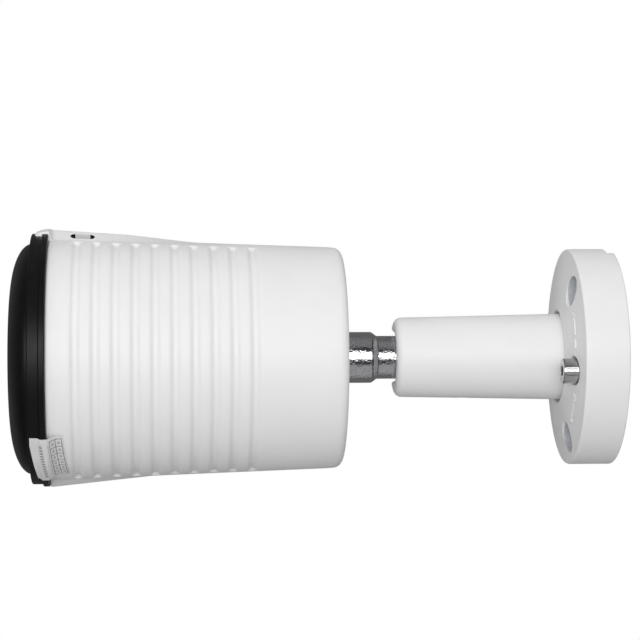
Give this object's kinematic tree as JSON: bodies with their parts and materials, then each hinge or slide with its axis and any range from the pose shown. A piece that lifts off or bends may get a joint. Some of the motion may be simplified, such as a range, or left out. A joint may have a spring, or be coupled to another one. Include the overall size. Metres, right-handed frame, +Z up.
{
  "type": "bullet security camera",
  "caption": "Outdoor bullet security camera with a tapered ribbed housing, a domed black front and a ball-jointed arm on a round wall base.",
  "frame": {"origin": "centre of the base disc's back face, on the wall", "axes": "+X into the wall along the arm's swivel axis, +Z up; the camera looks along -X"},
  "size_m": [0.1794, 0.0758, 0.0771],
  "materials": {
    "white_paint": "fine-textured off-white powder coat on die-cast aluminium",
    "black_plastic": "satin black moulded plastic",
    "dark_glass": "polished, slightly smoked",
    "rubber": "matt black silicone or foam rubber",
    "steel": "plain zinc-plated or stainless steel",
    "chrome": "bright chrome with a fine pitted cast grain",
    "nylon": "natural nylon",
    "circuit_board": "green solder mask",
    "component_black": "matt moulded component",
    "clear_resin": "clear cast resin",
    "brass": "turned brass",
    "label_paper": "silver-grey printed label",
    "bare_aluminium": "extruded aluminium"
  },
  "bodies": {
    "base": {"base_disc": "white_paint", "friction_washer": "nylon", "clamp_plate": "steel", "clamp_screw_1": "steel", "clamp_screw_2": "steel"},
    "lock_screw": {"arm_lock_screw": "steel"},
    "arm": {"arm_tube": "white_paint", "ball_seat": "nylon", "seat_ring": "steel"},
    "tilt_screw": {"tilt_lock_screw": "steel"},
    "stud": {"ball_stud": "chrome", "stud_washer": "rubber", "stud_nut": "steel"},
    "head": {"body_shell": "white_paint", "front_bezel": "black_plastic", "front_cover": "black_plastic", "front_window": "dark_glass", "window_gasket": "rubber", "cover_gasket": "rubber", "bezel_o_ring": "rubber", "light_board": "circuit_board", "ir_light_1": "clear_resin", "ir_light_2": "clear_resin", "ir_light_3": "clear_resin", "ir_light_4": "clear_resin", "ir_light_5": "clear_resin", "ir_light_6": "clear_resin", "ir_light_7": "clear_resin", "ir_light_8": "clear_resin", "daylight_sensor": "dark_glass", "lens_hood_ring": "rubber", "lens_barrel": "black_plastic", "lens_glass": "dark_glass", "lens_holder": "black_plastic", "lens_lock_ring": "steel", "sensor_board": "circuit_board", "image_sensor": "component_black", "front_spacer_1": "brass", "front_spacer_2": "brass", "front_spacer_3": "brass", "front_spacer_4": "brass", "rear_spacer_1": "brass", "rear_spacer_2": "brass", "rear_spacer_3": "brass", "rear_spacer_4": "brass", "main_board": "circuit_board", "heat_sink": "bare_aluminium", "capacitor": "component_black", "wire_header": "nylon", "warranty_label": "label_paper"},
    "filter": {"filter_slide": "black_plastic", "filter_glass": "dark_glass"}
  },
  "joints": [
    {"name": "arm_swivel", "type": "hinge", "parent": "base", "child": "arm", "pos_m": [0, 0, 0], "axis": [1, 0, 0], "range_deg": [-180, 180]},
    {"name": "lock_screw_turn", "type": "hinge", "parent": "base", "child": "lock_screw", "pos_m": [0, -0.02293, -0.00281], "axis": [-1, 0, 0], "range_deg": [0, 360]},
    {"name": "head_tilt", "type": "hinge", "parent": "arm", "child": "stud", "pos_m": [-0.0564, 0, 0], "axis": [0, 0, -1], "range_deg": [0, 90]},
    {"name": "tilt_screw_turn", "type": "hinge", "parent": "arm", "child": "tilt_screw", "pos_m": [-0.0447, 0, -0.0107], "axis": [0, 0, -1], "range_deg": [0, 360]},
    {"name": "head_roll", "type": "hinge", "parent": "stud", "child": "head", "pos_m": [-0.0814, 0, 0], "axis": [1, 0, 0], "range_deg": [-180, 180]},
    {"name": "filter_shift", "type": "slide", "parent": "head", "child": "filter", "axis": [0, 1, 0], "range_m": [0, 0.007]}
  ]
}
